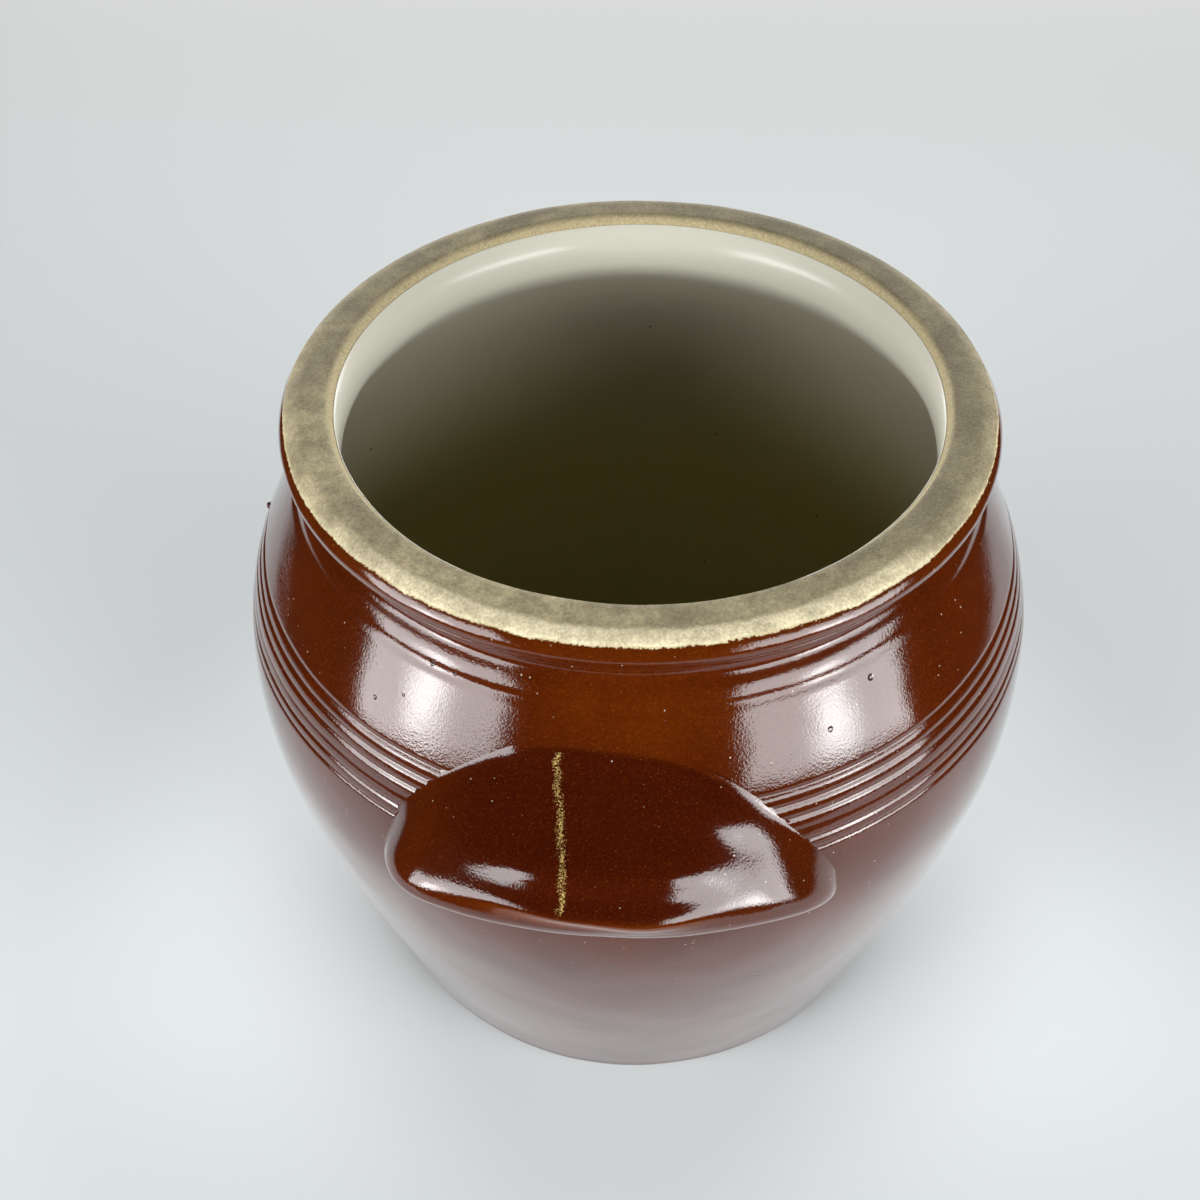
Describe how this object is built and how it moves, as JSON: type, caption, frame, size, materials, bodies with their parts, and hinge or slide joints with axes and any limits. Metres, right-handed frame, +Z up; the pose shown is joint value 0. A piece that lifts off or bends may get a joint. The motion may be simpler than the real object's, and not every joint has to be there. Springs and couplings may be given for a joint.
{
  "type": "confit pot",
  "caption": "Round-bellied stoneware crock with a wide mouth, thick bare rim, combed shoulder grooves and half-moon lugs, brown glaze outside and pale lining.",
  "frame": {"origin": "centre of the flat foot, on the surface that the pot stands on", "axes": "+Z up along the axis of the pot, -Y through the middle of the front lug, +Y through the middle of the rear lug"},
  "size_m": [0.291, 0.3274, 0.268],
  "materials": {
    "bare_stoneware": "bare fired buff stoneware, matt, worn and stained",
    "brown_glaze": "glossy iron-brown glaze",
    "pale_glaze": "glossy pale grey-white lining glaze"
  },
  "bodies": {
    "root": {"stoneware_body": "bare_stoneware", "outer_glaze": "brown_glaze", "lining_glaze": "pale_glaze", "front_lug": "bare_stoneware", "front_lug_glaze": "brown_glaze", "rear_lug": "bare_stoneware", "rear_lug_glaze": "brown_glaze"}
  },
  "joints": []
}
